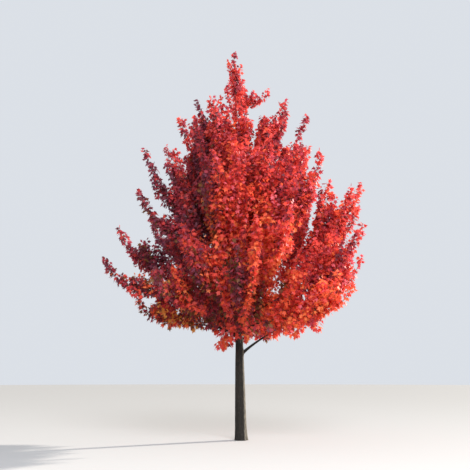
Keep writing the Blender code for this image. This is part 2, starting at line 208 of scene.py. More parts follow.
def twigMaterial():
    # smooth young bark, grey-brown where it is old and reddish where it grew this year
    look = twigLook
    made, tree = newMaterial("smoothTwigBark")
    place = addNode(tree, "ShaderNodeTexCoord")
    patches = addNode(
        tree, "ShaderNodeTexNoise",
        {"Scale": 1 / look["patch"], "Detail": 3},
        {"Vector": place.outputs["Object"]},
    )
    colour = addNode(
        tree, "ShaderNodeMix",
        {"data_type": "RGBA", 6: linearColour(look["old"]), 7: linearColour(look["young"])},
        {0: patches.outputs["Fac"]},
    )
    surface = addNode(
        tree, "ShaderNodeBsdfPrincipled",
        {"Roughness": look["roughness"], "IOR": 1.45},
        {"Base Color": colour.outputs[2]},
    )
    addNode(tree, "ShaderNodeOutputMaterial", {}, {"Surface": surface.outputs["BSDF"]})
    return made


leafLook = {
    "roughness": 0.45,  # a waxy skin, satin where the light grazes it
    "through": 0.50,  # share of the light that glows through the thin blade
}


def leafMaterial(name, colour):
    # a thin autumn leaf, one plain tint, lit through from behind
    made, tree = newMaterial(name)
    face = addNode(
        tree, "ShaderNodeBsdfPrincipled",
        {"Base Color": linearColour(colour), "Roughness": leafLook["roughness"], "IOR": 1.42,
         "Specular IOR Level": 0.35},
    )
    glow = addNode(tree, "ShaderNodeBsdfTranslucent", {"Color": linearColour(colour)})
    both = addNode(
        tree, "ShaderNodeMixShader",
        {"Fac": leafLook["through"]},
        {1: face.outputs["BSDF"], 2: glow.outputs["BSDF"]},
    )
    addNode(tree, "ShaderNodeOutputMaterial", {}, {"Surface": both.outputs["Shader"]})
    return made


# name: (colour, material slot)
leafTints = {
    "scarlet": ("#E85648", "scarlet_leaves"),
    "rose": ("#E86A76", "scarlet_leaves"),
    "vermilion": ("#EE6642", "orange_leaves"),
    "orange": ("#F2824E", "orange_leaves"),
    "gold": ("#E89C4C", "orange_leaves"),
    "blood": ("#CE4644", "crimson_leaves"),
    "crimson": ("#AC404E", "crimson_leaves"),
    "maroon": ("#7E3E48", "crimson_leaves"),
    # plum is a dark purplish red, partly painted shade, given only to sprays on the side away from
    # the sun
    "plum": ("#7C3E50", "crimson_leaves"),
    "russet": ("#845A38", "crimson_leaves"),
}

# the limbs, by the same rule as the solids

trunk = {
    "taper": (  # height and radius
        (0.00, 0.103), (0.40, 0.098), (0.80, 0.091), (1.35, 0.079), (1.60, 0.070), (1.90, 0.061),
        (3.00, 0.047), (4.50, 0.030), (5.60, 0.017), (6.30, 0.010),
    ),
    "top": 6.30,
    "lean": 0.088,
    "leanHeight": 5.4,
    "sway": 0.010,
    "swayTurns": 2.1,
    "flare": 0.020,
    "flareHeight": 0.13,
    "rootRidges": 5,
    "rootRidgeDepth": 0.45,
    "sides": 112,
    "ringStep": 0.014,
    "ringGrowth": 1.012,
    "furrowDepth": 0.0030,
    "furrowWidth": 0.17,
    "furrowScale": (5.5, 5.0),  # round the trunk and up it
    "flute": 0.0025,
    "fluteScale": (1.6, 1.1),
    "collar": 0.014,  # the swelling where a limb leaves the trunk
    "collarSize": 0.055,
    "collarLeast": 0.45,  # size of the thinnest limb's collar to the thickest's
    "collarOut": 1.25,  # its middle, in radii from the trunk's centre
    "collarEnd": 3,  # in its own sizes from its middle
    "collarHeading": 0.05,  # share of a limb over which its heading at the fork is read
}

limbRule = {
    "seed": 9,
    "treeHeight": 7.5,
    "riseAtFork": math.radians(44),
    "riseAtTip": math.radians(72),
    "forkPull": 0.34,
    "tipPull": 0.36,
    "radiusMost": 0.027,
    "tipShare": 0.55,
    "collar": 0.35,
    "collarLength": 0.06,
    "stemSamples": 15,
    "tipInset": 0.10,
    "tipDrop": 0.06,
    "roomPastTip": 0.04,
    "roomInwards": 1.0,  # a mass may rise this much above its tip for each metre nearer the axis
    "leaderBends": ((-0.050, 0.030), (-0.170, -0.030), (-0.100, 0.005)),
    "leaderReach": 0.36,
    "slim": {"leader": 0.65, "top_10": 0.7},  # twigs and leaves to the usual, on the thin spire
    "lone": {
        # length of the finer side shoots to the usual: less where a plume stands alone
        # against the sky, more where the crown is fuller
        "leader": 0.4, "low_1": 1.2, "low_7": 1.3,
        "wide_1": 0.5, "wide_2": 0.65, "wide_5": 1.1, "wide_6": 1.25,
        "middle_1": 0.5, "middle_3": 1.15, "middle_6": 0.6,
        "upper_1": 0.5, "upper_2": 1.15, "upper_3": 1.2,
        "top_3": 1.15, "top_4": 0.75, "top_5": 0.8, "top_8": 1.1, "top_9": 1.1, "top_10": 0.4,
    },
    "clearance": 0.030,
    "sampleStep": 0.04,
}

# each tier: (name, bare share, radius at the fork to the trunk's, rows), and each row:
# (bearing in degrees, reach from the axis, height of the fork, height of the tip)
tiers = (
    ("low", 0.20, 0.42, (
        (8, 2.42, 1.44, 3.32), (334, 2.20, 1.80, 2.66), (268, 2.05, 1.62, 3.10),
        (222, 2.05, 1.90, 2.80), (172, 2.06, 1.75, 2.56), (116, 2.05, 1.80, 2.72),
        (64, 2.10, 1.62, 2.74),
    )),
    ("wide", 0.24, 0.42, (
        (183, 2.61, 2.03, 3.24), (166, 2.59, 2.18, 3.99), (244, 2.20, 2.04, 3.36),
        (292, 2.20, 2.24, 3.74), (347, 2.35, 1.98, 3.74), (22, 2.72, 2.30, 4.50),
        (92, 2.25, 2.10, 3.72),
    )),
    ("middle", 0.26, 0.42, (
        (199, 2.03, 2.74, 4.35), (258, 2.05, 2.66, 4.60), (314, 2.04, 2.44, 4.76),
        (1, 2.41, 2.52, 4.67), (66, 2.05, 2.72, 4.74), (142, 2.49, 2.60, 4.35),
    )),
    ("upper", 0.26, 0.42, (
        (176, 1.97, 2.90, 5.40), (288, 1.60, 3.06, 5.20), (338, 1.46, 3.02, 5.22),
        (90, 1.62, 3.12, 5.44),
    )),
    ("top", 0.0, 0.36, (
        (232, 1.36, 3.36, 5.40), (36, 1.72, 3.44, 5.98), (150, 1.90, 3.30, 5.81),
        (168, 1.32, 3.80, 6.12), (5, 1.42, 3.90, 6.15), (232, 0.98, 4.20, 6.10),
        (86, 1.10, 4.06, 6.14), (206, 1.00, 4.46, 6.21), (336, 1.03, 4.56, 6.24),
        (18, 0.70, 6.20, 6.74),
    )),
)


def trunkCentre(height):
    lean = -trunk["lean"] * min(height / trunk["leanHeight"], 1)
    return Vector((lean, trunk["sway"] * math.sin(height * trunk["swayTurns"]), height))


def trunkRadius(height):
    heights, radii = zip(*trunk["taper"])
    return float(np.interp(height, heights, radii))


def newLimb(name, curve, bare, radius, reach, top):
    # bare is the share of its length that is a plain bough, before its mass of foliage
    return {
        "name": name,
        "curve": curve,
        "bare": bare,
        "radius": radius,
        "stemRadius": radius * (limbRule["tipShare"] if bare else 1),
        "reach": reach,
        "top": top,
        "rise": 0 if name == "leader" else limbRule["roomInwards"],
        "slim": limbRule["slim"].get(name, 1),
        "lone": limbRule["lone"].get(name, 1),
        "stem": [curve(share) for share in steps(bare, 1, limbRule["stemSamples"])],
    }


def sideLimb(name, row, bare, radiusShare):
    # leaves the trunk at a slant, flattens and turns up at its tip
    bearing, reach, fork, tip = row
    out = Vector((math.cos(math.radians(bearing)), math.sin(math.radians(bearing)), 0))
    start = trunkCentre(fork)
    end = out * (reach - limbRule["tipInset"]) + up * (tip - limbRule["tipDrop"])
    span = (end - start).length
    leave = out * math.cos(limbRule["riseAtFork"]) + up * math.sin(limbRule["riseAtFork"])
    arrive = out * math.cos(limbRule["riseAtTip"]) + up * math.sin(limbRule["riseAtTip"])
    first = start + leave * span * limbRule["forkPull"]
    second = end - arrive * span * limbRule["tipPull"]
    corners = (start, first, second, end)
    radius = min(trunkRadius(fork) * radiusShare, limbRule["radiusMost"])
    room = limbRule["roomPastTip"]
    return newLimb(name, bezier(corners), bare, radius, reach + room, tip + room)


def leaderLimb():
    bends = limbRule["leaderBends"]
    heights = steps(trunk["top"], limbRule["treeHeight"], len(bends) + 1)
    corners = [trunkCentre(trunk["top"])]
    corners += [Vector((x, y, height)) for (x, y), height in zip(bends, heights[1:])]
    radius = trunkRadius(trunk["top"])
    reach, top = limbRule["leaderReach"], limbRule["treeHeight"]
    return newLimb("leader", bezier(corners), 0, radius, reach, top)


limbs = []
for tier, bare, radiusShare, rows in tiers:
    for number, row in enumerate(rows, 1):
        limbs.append(sideLimb(f"{tier}_{number}", row, bare, radiusShare))
limbs.append(leaderLimb())


def boughRadius(limb, share):
    return limb["radius"] * (1 - (1 - limbRule["tipShare"]) * share)


stemPoints = np.array([point for limb in limbs for point in limb["stem"]])
stemOwner = np.array([mass for mass, limb in enumerate(limbs) for _ in limb["stem"]])
woodPoints = []
woodRadii = []
for height in np.arange(0, trunk["top"], limbRule["sampleStep"]):
    woodPoints.append(trunkCentre(float(height)))
    woodRadii.append(trunkRadius(height))
for limb in limbs:
    if limb["bare"]:
        count = round(limb["bare"] * limb["reach"] / limbRule["sampleStep"]) * 2
        for share in steps(0, 1, count):
            woodPoints.append(limb["curve"](share * limb["bare"]))
            woodRadii.append(boughRadius(limb, share))
woodPoints = np.array(woodPoints)
woodRadii = np.array(woodRadii)


def inSpace(mass, points, margin):
    # a mass keeps to its own reach, clear of the wood, and by the margin nearer its stem than any
    # other. A margin below 0 lets its finer shoots mingle with the next mass's
    points = np.array(points)
    limb = limbs[mass]
    inwards = limb["reach"] - np.hypot(points[:, 0], points[:, 1])
    if (inwards < 0).any() or (points[:, 2] > limb["top"] + inwards * limb["rise"]).any():
        return False
    toStems = np.linalg.norm(points[:, None] - stemPoints, axis=2)
    own = stemOwner == mass
    if (toStems[:, own].min(1) + margin > toStems[:, ~own].min(1)).any():
        return False
    toWood = np.linalg.norm(points[:, None] - woodPoints, axis=2) - woodRadii
    return bool((toWood > limbRule["clearance"]).all())


# shoots leave their stem in pairs, each pair turned a quarter from the one before
shootRule = {
    "forks": (0.10, 0.42),
    "length": 0.50,
    "shrink": 0.90,
    "lengthSpread": 0.15,
    "angle": math.radians(44),
    "closing": 0,
    "turnSpread": 0.35,
    "tipRoom": 0.3,
    "margin": 0.012,
}
fineShoots = {
    "forks": (0.05, 0.11, 0.17, 0.23, 0.29, 0.36, 0.43, 0.50, 0.58),
    "length": 0.78,
    "shrink": 1.34,
    "lengthSpread": 0.30,
    "angle": math.radians(44),
    "closing": math.radians(32),  # less angle at the stem's tip than at its foot
    "turnSpread": 0.70,
    "tipRoom": 0.06,
    "margin": -0.35,
}
boughShoots = {
    "first": 0.4,  # the share of a bough at which its shoots and leaves begin
    "firstOn": {"low_1": 0.9},  # later on the one bough that the photograph shows bare
    "leafySamples": 6,
    "forks": (0.45, 0.60, 0.76, 0.92),
    "length": 0.60,
    "lengthSpread": 0.25,
    "angle": math.radians(48),
    "turns": (0.45, 1.05),  # from straight up, by turns
    "turnSpread": 0.3,
    "thickAs": 0.5,  # as thick as a side shoot that leaves its stem at this share
    "tipRoom": 0.06,
    "margin": -0.35,
}
skirtShoots = {
    # sideways and down from the lowest boughs, as the photograph's foliage hangs about the fork
    # limb: (shares of the whole limb that they leave it at, length, angle in degrees)
    "on": {
        "low_1": ((0.30, 0.38, 0.46), 0.24, 58), "low_2": ((0.24, 0.34, 0.44, 0.54), 0.30, 58),
        "low_3": ((0.14, 0.19, 0.26), 0.26, 58), "low_5": ((0.08, 0.11, 0.14), 0.28, 92),
        "low_6": ((0.14, 0.19, 0.26), 0.26, 58), "low_7": ((0.20, 0.30, 0.40), 0.26, 58),
    },
    "turns": (-0.9, 0.9),  # from straight down
    "turnSpread": 0.3,
    "lengthSpread": 0.30,
    "lift": -0.02,
    "standOff": 0.035,
    "thickAs": 0.6,
    "tipRoom": 0.04,
    "margin": -0.6,
}
trunkShoots = {
    "heights": (1.95, 6.20),
    "step": 0.17,
    "turnStep": 2.4,
    "turnSpread": 0.5,
    "length": 0.62,
    "lengthSpread": 0.35,
    "rise": math.radians(48),
    "radius": 0.006,
    "standOff": 0.02,
    "towards": 0.22,  # so far out, the nearest stem's mass is the one that the shoot joins
    "tipRoom": 0.06,
    "margin": -0.35,
}
growth = {
    "lift": 0.30,  # how much a shoot turns up at each step
    "steps": 6,
    "toStem": 0.62,  # a side shoot's radius to its stem's at the fork
    "stemTip": 0.003,
    "stemEnd": 0.0024,
    "tipRadius": 0.0016,
    "lookAhead": 0.02,  # share of a limb over which its heading is read
    "shade": (0.75, 1.5, 0.36),  # metres in from the crown's edge, and the twigs kept beyond
}
twigRule = {
    "first": 0.05,  # from the tip of a shoot back to its first twigs
    "step": 0.105,
    "stepSpread": 0.15,
    "length": (0.11, 0.08, 0.18),  # at the tip, growth a metre back, most
    "lengthSpread": 0.40,
    "angle": math.radians(36),
    "turnSpread": 0.40,
    "radius": (0.0026, 0.0012),
    "tipRoom": 0.02,
    "margin": -0.45,
    "kept": 0.82,
    "bareFoot": 0.05,  # of a shoot, next to its fork
}


def grown(mass, start, going, length, tipRoom, margin, lift=growth["lift"]):
    # a shoot turns up as it grows, and is cut back to where its tip has room
    line = [start]
    for _ in range(growth["steps"]):
        going = (going + up * lift).normalized()
        ahead = line[-1] + going * length / growth["steps"]
        if not inSpace(mass, [ahead], margin):
            break
        line.append(ahead)
    while len(line) > 2:
        onward = (line[-1] - line[-2]).normalized()
        if inSpace(mass, [line[-1] + onward * tipRoom], margin):
            return line
        line.pop()
    return None


def lineLength(line):
    return sum((b - a).length for a, b in zip(line, line[1:]))


def sideShoots(mass, rule, draw):
    stem = limbs[mass]["stem"]
    last = len(stem) - 1
    stemLength = lineLength(stem)
    made = []
    for pair, fork in enumerate(rule["forks"]):
        k = min(max(round(fork * last), 1), last - 1)
        heading = (stem[k + 1] - stem[k - 1]).normalized()
        turned = basis(heading, up)
        for side in (0, math.pi):
            turn = side + pair * math.pi / 2 + draw.uniform(-rule["turnSpread"], rule["turnSpread"])
            across = turned @ Vector((math.cos(turn), 0, math.sin(turn)))
            angle = rule["angle"] - rule["closing"] * fork
            going = heading * math.cos(angle) + across * math.sin(angle)
            length = stemLength * rule["length"] * (1 - rule["shrink"] * fork)
            if rule is fineShoots:
                length *= limbs[mass]["lone"]
            length *= vary(draw, rule["lengthSpread"])
            line = grown(mass, stem[k], going, length, rule["tipRoom"], rule["margin"])
            if line:
                made.append((line, k / last))
    return made


def pointOn(limb, share):
    # a point of the whole limb and its heading there
    point = limb["curve"](share)
    return point, (limb["curve"](share + growth["lookAhead"]) - point).normalized()


def innerShoots(mass, first, draw):
    # from the upper half of a bough that is bare in the solids
    rule = boughShoots
    limb = limbs[mass]
    made = []
    for number, fork in enumerate(rule["forks"]):
        if fork < first:
            continue
        point, heading = pointOn(limb, fork * limb["bare"])
        turned = basis(heading, up)
        for side in (-1, 1):
            away = rule["turns"][number % 2] + draw.uniform(-rule["turnSpread"], rule["turnSpread"])
            turn = math.pi / 2 + side * away
            across = turned @ Vector((math.cos(turn), 0, math.sin(turn)))
            going = heading * math.cos(rule["angle"]) + across * math.sin(rule["angle"])
            length = rule["length"] * vary(draw, rule["lengthSpread"])
            line = grown(mass, point, going, length, rule["tipRoom"], rule["margin"])
            if line:
                made.append((line, rule["thickAs"]))
    return made


def hangingShoots(mass, draw):
    rule = skirtShoots
    limb = limbs[mass]
    made = []
    forks, usual, angle = rule["on"].get(limb["name"], ((), 0, 0))
    angle = math.radians(angle)
    for fork in forks:
        point, heading = pointOn(limb, fork)
        turned = basis(heading, up)
        for side in rule["turns"]:
            turn = -math.pi / 2 + side + draw.uniform(-rule["turnSpread"], rule["turnSpread"])
            across = turned @ Vector((math.cos(turn), 0, math.sin(turn)))
            going = heading * math.cos(angle) + across * math.sin(angle)
            length = usual * vary(draw, rule["lengthSpread"])
            start = point + going * limb["radius"] + going * rule["standOff"]
            line = grown(mass, start, going, length, rule["tipRoom"], rule["margin"], rule["lift"])
            if line:
                made.append(([point] + line, rule["thickAs"]))
    return made


def fromTrunk(draw):
    # (mass, line) of leafy shoots on the trunk, each in the space of the nearest stem
    rule = trunkShoots
    made = []
    for number, height in enumerate(np.arange(*rule["heights"], rule["step"])):
        foot = trunkCentre(float(height))
        for side in (0, math.pi):
            turn = number * rule["turnStep"] + side
            turn += draw.uniform(-rule["turnSpread"], rule["turnSpread"])
            out = Vector((math.cos(turn), math.sin(turn), 0))
            going = out * math.cos(rule["rise"]) + up * math.sin(rule["rise"])
            ahead = np.array(foot + going * rule["towards"])
            mass = int(stemOwner[np.linalg.norm(stemPoints - ahead, axis=1).argmin()])
            length = rule["length"] * vary(draw, rule["lengthSpread"])
            start = foot + going * (trunkRadius(height) / math.cos(rule["rise"]) + rule["standOff"])
            line = grown(mass, start, going, length, rule["tipRoom"], rule["margin"])
            if line:
                made.append((mass, [foot] + line))
    return made


# leaves and twigs

leafRule = {
    "first": 0.010,  # from the tip of a shoot back to its first pair
    "step": 0.052,  # between the pairs along a shoot
    "tipStep": 0.026,  # and near its tip
    "kept": 0.88,
    "angle": math.radians(60),
    "turnSpread": 0.35,
    "length": 0.084,  # of the blade, at the large end of life size
    "spread": 0.25,
    "tipSize": 0.88,
    "slimmest": 0.4,  # size where a limb's slim share nears nothing
    "fullSizeAt": 0.10,  # from the tip
    "stalk": (0.020, 0.055),
    "stalkWidth": 0.0022,
    "stalkLift": 0.10,
    "stalkScatter": 0.25,
    "alongStalk": 0.45,  # how far the blade keeps the stalk's direction
    "droop": 0.70,
    "droopSpread": (0.3, 1.2),
    "bladeScatter": 0.40,
    "faceUp": 0.40,
    "faceScatter": 0.50,
    "bareFoot": 0.05,  # of a shoot, next to its fork
    "middle": 0.6,  # share of the blade at which its distance from the wood is measured
    "clearance": 0.012,
}

leaves = []  # (foot, stalk direction, blade direction, facing, length, stalk length, tint, mass)
twigs = []  # (points, first radius, last radius)


def scatter(draw, amount):
    return Vector([draw.uniform(-amount, amount) for _ in range(3)])


def addLeaf(foot, going, mass, tint, size, draw):
    # the stalk stands out from the twig, and the blade hangs from it with its face outwards
    rule = leafRule
    stalk = (going + up * rule["stalkLift"] + scatter(draw, rule["stalkScatter"])).normalized()
    level = Vector((stalk.x, stalk.y, 0))
    hang = up * rule["droop"] * draw.uniform(*rule["droopSpread"])
    blade = (stalk * rule["alongStalk"] - hang + scatter(draw, rule["bladeScatter"])).normalized()
    facing = level + up * rule["faceUp"] + scatter(draw, rule["faceScatter"])
    length = rule["length"] * size * vary(draw, rule["spread"])
    stalkLength = draw.uniform(*rule["stalk"]) * size
    leaves.append((foot, stalk, blade, facing, length, stalkLength, tint, mass))


def pointAt(line, distance):
    # a point of a line and its heading there, measured back from the tip
    for a, b in zip(line[::-1], line[-2::-1]):
        span = (a - b).length
        if distance <= span:
            return a.lerp(b, distance / span), (a - b).normalized()
        distance -= span
    return line[0], (line[1] - line[0]).normalized()


def pairSides(heading, number, spread, draw):
    # opposite buds, each pair turned a quarter from the one before
    turn = number * math.pi / 2 + draw.uniform(-spread, spread)
    across = basis(heading, up) @ Vector((math.cos(turn), 0, math.sin(turn)))
    return (across, -across)


def leafyLine(line, mass, tint, slim, draw):
    # a leaf at the tip, then pairs of them back towards the fork
    rule = leafRule
    total = lineLength(line)
    onward = (line[-1] - line[-2]).normalized()
    addLeaf(line[-1], onward, mass, leafTint(tint, draw), rule["tipSize"], draw)
    distance = rule["first"]
    number = 0
    while distance < total - rule["bareFoot"]:
        point, heading = pointAt(line, distance)
        grownUp = min(1, distance / rule["fullSizeAt"])
        size = rule["tipSize"] + (1 - rule["tipSize"]) * grownUp
        size *= rule["slimmest"] + (1 - rule["slimmest"]) * slim
        for side in pairSides(heading, number, rule["turnSpread"], draw):
            if draw.random() < rule["kept"]:
                out = heading * math.cos(rule["angle"]) + side * math.sin(rule["angle"])
                addLeaf(point, out, mass, leafTint(tint, draw), size, draw)
        distance += rule["tipStep"] + (rule["step"] - rule["tipStep"]) * grownUp
        number += 1


def shaded(mass, point):
    # share of the twigs that grow so far in from the edge
    first, last, kept = growth["shade"]
    inwards = limbs[mass]["reach"] - math.hypot(point.x, point.y)
    return float(np.interp(inwards, (first, last), (1, kept)))


def leafyTwigs(line, mass, tint, slim, draw):
    # twigs in pairs from a shoot, longer towards its fork, and the leaves on them
    rule = twigRule
    first, longer, most = rule["length"]
    distance = rule["first"]
    number = 0
    while distance < lineLength(line) - rule["bareFoot"]:
        point, heading = pointAt(line, distance)
        for side in pairSides(heading, number, rule["turnSpread"], draw):
            if draw.random() < rule["kept"] * shaded(mass, point):
                going = heading * math.cos(rule["angle"]) + side * math.sin(rule["angle"])
                length = min(first + longer * distance, most) * slim
                length *= vary(draw, rule["lengthSpread"])
                twig = grown(mass, point, going, length, rule["tipRoom"], rule["margin"])
                if twig:
                    twigs.append(((twig[0], twig[len(twig) // 2], twig[-1]), *rule["radius"]))
                    leafyLine(twig, mass, sprayTint(twig[-1], draw, tint), slim, draw)
        distance += rule["step"] * draw.uniform(1 - rule["stepSpread"], 1 + rule["stepSpread"])
        number += 1


# where a spray hangs decides its tints: (name, share) by place. The darker, purpler tints on the
# left and low left are partly the leaves' own autumn colour and partly painted shade, for the
# crown's side away from the sun and its underside
sprayTints = {
    "left": (
        ("plum", 0.16), ("crimson", 0.34), ("maroon", 0.12), ("blood", 0.26), ("scarlet", 0.12),
    ),
    "leftEdge": (("plum", 0.42), ("crimson", 0.32), ("maroon", 0.18), ("blood", 0.08)),
    "leftTop": (("plum", 0.22), ("crimson", 0.42), ("maroon", 0.12), ("blood", 0.24)),
    "rightTop": (("scarlet", 0.18), ("rose", 0.12), ("blood", 0.40), ("crimson", 0.30)),
    "centreTop": (
        ("scarlet", 0.40), ("blood", 0.34), ("rose", 0.12), ("vermilion", 0.04), ("crimson", 0.10),
    ),
    "centre": (
        ("blood", 0.10), ("scarlet", 0.34), ("vermilion", 0.34), ("orange", 0.16), ("gold", 0.02),
        ("crimson", 0.04),
    ),
    "right": (
        ("scarlet", 0.26), ("vermilion", 0.12), ("rose", 0.06), ("blood", 0.40), ("crimson", 0.16),
    ),
    "spire": (("scarlet", 0.22), ("rose", 0.16), ("blood", 0.40), ("crimson", 0.22)),
    "lowLeft": (
        ("blood", 0.22), ("crimson", 0.30), ("maroon", 0.26), ("vermilion", 0.08), ("russet", 0.14),
    ),
    "lowEdge": (("orange", 0.34), ("gold", 0.14), ("vermilion", 0.26), ("russet", 0.26)),
    "lowRight": (
        ("scarlet", 0.40), ("vermilion", 0.34), ("orange", 0.12), ("blood", 0.12), ("russet", 0.02),
    ),
}
tintNeighbours = {
    "scarlet": ("vermilion", "blood", "rose"),
    "rose": ("scarlet", "blood"),
    "vermilion": ("orange", "scarlet", "scarlet"),
    "orange": ("vermilion", "scarlet"),
    "gold": ("orange", "russet"),
    "blood": ("scarlet", "crimson"),
    "crimson": ("blood", "maroon"),
    "maroon": ("crimson", "russet"),
    "plum": ("crimson", "maroon"),
    "russet": ("crimson", "orange"),
}
tintRule = {
    "neighbours": 0.48,  # share of a spray's leaves that take a neighbouring tint
    "kept": 0.42,  # share of the twigs that keep their shoot's tint
    "blend": 0.30,  # metres over which one place's tints run into the next
    "spireFrom": (5.9, -0.55),  # height, and the side that it lies right of
    "fringeBelow": 1.85,
    "lowEdgeBelow": 2.35,
    "lowEdge": (-1.6, -0.5),
    "lowBelow": 3.0,
    "lowSplit": 0.35,
    "topFrom": 4.2,
    "topMiddle": (-0.45, 0.35),
    "sides": (-1.35, -0.70, 0.70),
}


def sprayPlace(point):
    rule = tintRule
    if point.z > rule["spireFrom"][0] and point.x > rule["spireFrom"][1]:
        return "spire"
    if point.z < rule["fringeBelow"]:
        return "lowRight"
    if point.z < rule["lowEdgeBelow"] and rule["lowEdge"][0] < point.x < rule["lowEdge"][1]:
        return "lowEdge"
    if point.z < rule["lowBelow"]:
        return "lowLeft" if point.x < rule["lowSplit"] else "lowRight"
    if point.z > rule["topFrom"]:
        if rule["topMiddle"][0] < point.x < rule["topMiddle"][1]:
            return "centreTop"
        return "leftTop" if point.x < 0 else "rightTop"
    for place, side in zip(("leftEdge", "left", "centre"), rule["sides"]):
        if point.x < side:
            return place
    return "right"


def sprayTint(point, draw, parent=None):
    # a spray's own tint, drawn for its place unless it keeps its shoot's
    place = sprayPlace(point + scatter(draw, tintRule["blend"]))
    if parent and draw.random() < tintRule["kept"]:
        return parent
    names, shares = zip(*sprayTints[place])
    return draw.choices(names, shares)[0]


def leafTint(tint, draw):
    # one leaf of a spray
    if draw.random() < tintRule["neighbours"]:
        return draw.choice(tintNeighbours[tint])
    return tint


stems = []
shoots = []


def addShoot(mass, line, thick, draw):
    tint = sprayTint(line[-1], draw)
    slim = limbs[mass]["slim"]
    shoots.append((line, thick, growth["tipRadius"]))
    leafyLine(line, mass, tint, slim, draw)
    leafyTwigs(line, mass, tint, slim, draw)


for mass, limb in enumerate(limbs):
    # the first side shoots are the solids' own, from the same seed
    lines = sideShoots(mass, shootRule, random.Random(limbRule["seed"] * 100 + mass))
    draw = random.Random(limbRule["seed"] * 1000 + mass)
    lines += sideShoots(mass, fineShoots, draw)
    if limb["bare"]:
        first = boughShoots["firstOn"].get(limb["name"], boughShoots["first"])
        lines += innerShoots(mass, first, draw)
        lines += hangingShoots(mass, draw)
        leafyShares = steps(first, 1, boughShoots["leafySamples"])
        bough = [limb["curve"](share * limb["bare"]) for share in leafyShares]
        leafyLine(bough, mass, sprayTint(bough[-1], draw), 1, draw)
    stems.append((limb["stem"], limb["stemRadius"], growth["stemEnd"]))
    tint = sprayTint(limb["stem"][-3], draw)
    leafyLine(limb["stem"], mass, tint, limb["slim"], draw)
    leafyTwigs(limb["stem"], mass, tint, limb["slim"], draw)
    for line, fork in lines:
        thick = (limb["stemRadius"] * (1 - fork) + growth["stemTip"] * fork) * growth["toStem"]
        addShoot(mass, line, thick, draw)
draw = random.Random(limbRule["seed"])
for mass, line in fromTrunk(draw):
    addShoot(mass, line, trunkShoots["radius"], draw)
print("grown:", len(shoots), "shoots,", len(twigs), "twigs,", len(leaves), "leaves")


# meshes


def newPiece(name, mesh, material, slot, *nodes):
    made = bpy.data.objects.new(name, mesh)
    bpy.context.scene.collection.objects.link(made)
    mesh.materials.clear()
    mesh.materials.append(material)
    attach(made, "root")
    if nodes:
        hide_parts(*nodes)


leafShape = {
    # right half of the outline, in shares of the blade's length: two lobes and the tip
    "half": ((0.36, 0.12), (0.29, 0.34), (0.50, 0.60), (0.19, 0.58)),
    "fold": (0.05, 0.45),
    "curl": (-0.05, 0.35),
}


def leafTemplate():
    # a blade of length 1 in the XY plane, fanned from its foot: its vertices and triangles
    half = leafShape["half"]
    rim = list(half) + [(0, 1)] + [(-x, y) for x, y in reversed(half)]
    shape = bmesh.new()
    foot = shape.verts.new((0, 0, 0))
    around = [shape.verts.new((x, y, 0)) for x, y in rim]
    for a, b in zip(around, around[1:]):
        shape.faces.new((foot, a, b))
    shape.verts.index_update()
    points = np.array([v.co for v in shape.verts])
    faces = np.array([[v.index for v in face.verts] for face in shape.faces])
    shape.free()
    return points, faces


def joinedMesh(name, points, faces):
    mesh = bpy.data.meshes.new(name)
    mesh.vertices.add(len(points))
    mesh.vertices.foreach_set("co", points.astype(np.float32).ravel())
    mesh.loops.add(faces.size)
    mesh.loops.foreach_set("vertex_index", faces.astype(np.int32).ravel())
    mesh.polygons.add(len(faces))
    mesh.polygons.foreach_set("loop_start", np.arange(0, faces.size, 3, dtype=np.int32))
    mesh.update()
    mesh.validate()
    return mesh


def unit(vectors):
    return vectors / np.linalg.norm(vectors, axis=1, keepdims=True)


def leafMesh(name, rows, draws):
    # every leaf of one tint: its stalk, a strip of two triangles, and its blade
    foot, stalk, blade, facing = (np.array([row[k] for row in rows]) for k in range(4))
    length = np.array([row[4] for row in rows])[:, None, None]
    stalkLength = np.array([row[5] for row in rows])[:, None]
    side = unit(np.cross(blade, facing))
    normal = np.cross(side, blade)
    base = foot + stalk * stalkLength
    points, faces = leafTemplate()
    count = len(rows)
    fold = draws.uniform(*leafShape["fold"], (count, 1))
    curl = draws.uniform(*leafShape["curl"], (count, 1))
    height = -fold * np.abs(points[:, 0]) - curl * points[:, 1] ** 2
    spread = points[None, :, 0:1] * side[:, None] + points[None, :, 1:2] * blade[:, None]
    blades = base[:, None] + (spread + height[:, :, None] * normal[:, None]) * length
    across = unit(np.cross(stalk, facing)) * leafRule["stalkWidth"] / 2
    strips = np.stack((foot - across, foot + across, base + across, base - across), axis=1)
    everything = np.concatenate((blades, strips), axis=1)
    perLeaf = everything.shape[1]
    first = len(points)
    strip = np.array(((first, first + 1, first + 2), (first, first + 2, first + 3)))
    pattern = np.concatenate((faces, strip))
    allFaces = pattern[None] + (np.arange(count) * perLeaf)[:, None, None]
    return joinedMesh(name, everything.reshape(-1, 3), allFaces.reshape(-1, 3))


def withinReach(rows):
    # drops the leaves that would leave the crown's reach or touch the wood
    middle = leafRule["middle"]
    mass = np.array([row[7] for row in rows])
    base = np.array([row[0] + row[1] * row[5] + row[2] * row[4] * middle for row in rows])
    tip = np.array([row[0] + row[1] * row[5] + row[2] * row[4] for row in rows])
    reach = np.array([limb["reach"] for limb in limbs])[mass]
    top = np.array([limb["top"] for limb in limbs])[mass]
    rise = np.array([limb["rise"] for limb in limbs])[mass]
    inwards = reach - np.hypot(tip[:, 0], tip[:, 1])
    kept = (inwards > 0) & (tip[:, 2] < top + inwards * rise)
    atOnce = 4000  # leaves, to spare memory
    for start in range(0, len(rows), atOnce):
        near = base[start:start + atOnce]
        gap = (np.linalg.norm(near[:, None] - woodPoints, axis=2) - woodRadii).min(1)
        kept[start:start + atOnce] &= gap > leafRule["clearance"]
    return [row for row, keep in zip(rows, kept) if keep]


